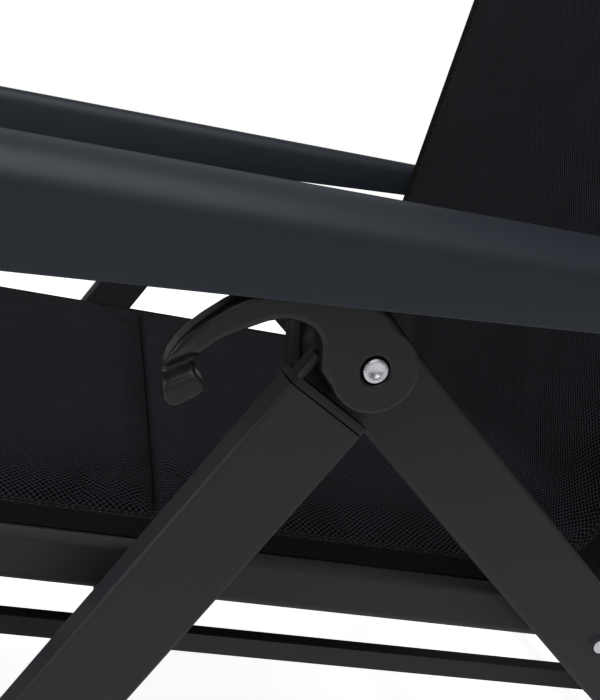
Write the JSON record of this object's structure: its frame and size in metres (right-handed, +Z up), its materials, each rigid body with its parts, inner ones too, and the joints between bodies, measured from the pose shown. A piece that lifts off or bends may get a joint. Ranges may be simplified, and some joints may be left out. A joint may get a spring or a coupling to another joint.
{
  "type": "reclining sun lounger",
  "caption": "Folding reclining garden lounger with crossed tube legs, padded mesh slings, wide armrests, a coupled leg rest and release levers at the leg pivots.",
  "frame": {"origin": "on the floor under the middle of the chair's box", "axes": "+Z up, -Y towards the front of the seat, +X towards the sitter's left"},
  "size_m": [0.63, 0.9622, 1.0687],
  "materials": {
    "powder_coat": "fine-textured powder coat, anthracite",
    "armrest_coat": "fine-textured powder coat, anthracite",
    "casting": "moulded, matt",
    "lever_plastic": "moulded, satin",
    "black_plastic": "moulded, matt",
    "nylon": "smooth",
    "zinc": "bright zinc plated",
    "spring_steel": "drawn wire",
    "sling_fabric": "padded woven mesh, black"
  },
  "bodies": {
    "rear_frame": {"rear_leg_r": "powder_coat", "rear_leg_l": "powder_coat", "rear_leg_head_r": "powder_coat", "rear_leg_head_l": "powder_coat", "apex_bracket_r": "casting", "apex_bracket_l": "casting", "pivot_pin_r": "zinc", "pivot_pin_l": "zinc", "pivot_washers": "black_plastic", "guide_shoes": "nylon", "rear_feet": "black_plastic", "rear_stretcher": "powder_coat", "rear_floor_bar": "powder_coat", "seat_rail_r": "powder_coat", "seat_rail_l": "powder_coat", "seat_hinge_end_r": "casting", "seat_hinge_end_l": "casting", "seat_front_end_r": "casting", "seat_front_end_l": "casting", "seat_cross_front": "powder_coat", "seat_cross_rear": "powder_coat", "seat_bolts": "zinc", "seat_sling": "sling_fabric", "lever_springs": "spring_steel"},
    "front_frame": {"front_leg_r": "powder_coat", "front_leg_l": "powder_coat", "front_leg_cap_r": "powder_coat", "front_leg_cap_l": "powder_coat", "front_feet": "black_plastic", "front_stretcher": "powder_coat", "front_floor_bar": "powder_coat", "seat_rest_pegs": "black_plastic", "cap_rivets": "zinc"},
    "backrest": {"back_rail_r": "powder_coat", "back_rail_l": "powder_coat", "back_hinge_r": "casting", "back_hinge_l": "casting", "back_hinge_pins": "zinc", "back_top_tube": "powder_coat", "back_cross_tube": "powder_coat", "arm_pivot_bolts": "zinc", "back_sling": "sling_fabric"},
    "leg_rest": {"leg_rail_r": "powder_coat", "leg_rail_l": "powder_coat", "leg_hinge_r": "casting", "leg_hinge_l": "casting", "leg_hinge_pins": "zinc", "leg_end_tube": "powder_coat", "leg_sling": "sling_fabric"},
    "armrest_right": {"armrest_r": "armrest_coat", "arm_channel_r": "casting"},
    "armrest_left": {"armrest_l": "armrest_coat", "arm_channel_l": "casting"},
    "push_rod_right": {"push_rod_r": "powder_coat"},
    "push_rod_left": {"push_rod_l": "powder_coat"},
    "lever_right": {"lever_r": "lever_plastic"},
    "lever_left": {"lever_l": "lever_plastic"}
  },
  "joints": [
    {"name": "leg_fold", "type": "hinge", "parent": "rear_frame", "child": "front_frame", "pos_m": [0, 0.01278, 0.52], "axis": [1, 0, 0], "range_deg": [0, 50]},
    {"name": "recline", "type": "hinge", "parent": "rear_frame", "child": "backrest", "pos_m": [0, 0.18878, 0.339], "axis": [-1, 0, 0], "range_deg": [0, 40]},
    {"name": "leg_rest_lift", "type": "hinge", "parent": "rear_frame", "child": "leg_rest", "pos_m": [0, -0.3003, 0.44296], "axis": [-1, 0, 0], "range_deg": [0, 40]},
    {"name": "armrest_right_tilt", "type": "hinge", "parent": "backrest", "child": "armrest_right", "pos_m": [0, 0.24813, 0.53313], "axis": [-1, 0, 0], "range_deg": [-30, 0]},
    {"name": "push_rod_right_swing", "type": "hinge", "parent": "backrest", "child": "push_rod_right", "pos_m": [0, 0.19741, 0.2776], "axis": [-1, 0, 0], "range_deg": [-40, 0]},
    {"name": "armrest_left_tilt", "type": "hinge", "parent": "backrest", "child": "armrest_left", "pos_m": [0, 0.24813, 0.53313], "axis": [-1, 0, 0], "range_deg": [-30, 0]},
    {"name": "push_rod_left_swing", "type": "hinge", "parent": "backrest", "child": "push_rod_left", "pos_m": [0, 0.19741, 0.2776], "axis": [-1, 0, 0], "range_deg": [-40, 0]},
    {"name": "lever_right_pull", "type": "hinge", "parent": "rear_frame", "child": "lever_right", "pos_m": [0, 0.01278, 0.52], "axis": [-1, 0, 0], "range_deg": [0, 12], "stiffness_Nm_per_rad": 0.6, "springref_deg": -8.59},
    {"name": "lever_left_pull", "type": "hinge", "parent": "rear_frame", "child": "lever_left", "pos_m": [0, 0.01278, 0.52], "axis": [-1, 0, 0], "range_deg": [0, 12], "stiffness_Nm_per_rad": 0.6, "springref_deg": -8.59}
  ],
  "couplings": [
    {"joint": "leg_rest_lift", "follows": "recline", "ratio": 1},
    {"joint": "armrest_right_tilt", "follows": "recline", "ratio": -0.75},
    {"joint": "push_rod_right_swing", "follows": "recline", "ratio": -1},
    {"joint": "armrest_left_tilt", "follows": "recline", "ratio": -0.75},
    {"joint": "push_rod_left_swing", "follows": "recline", "ratio": -1}
  ]
}
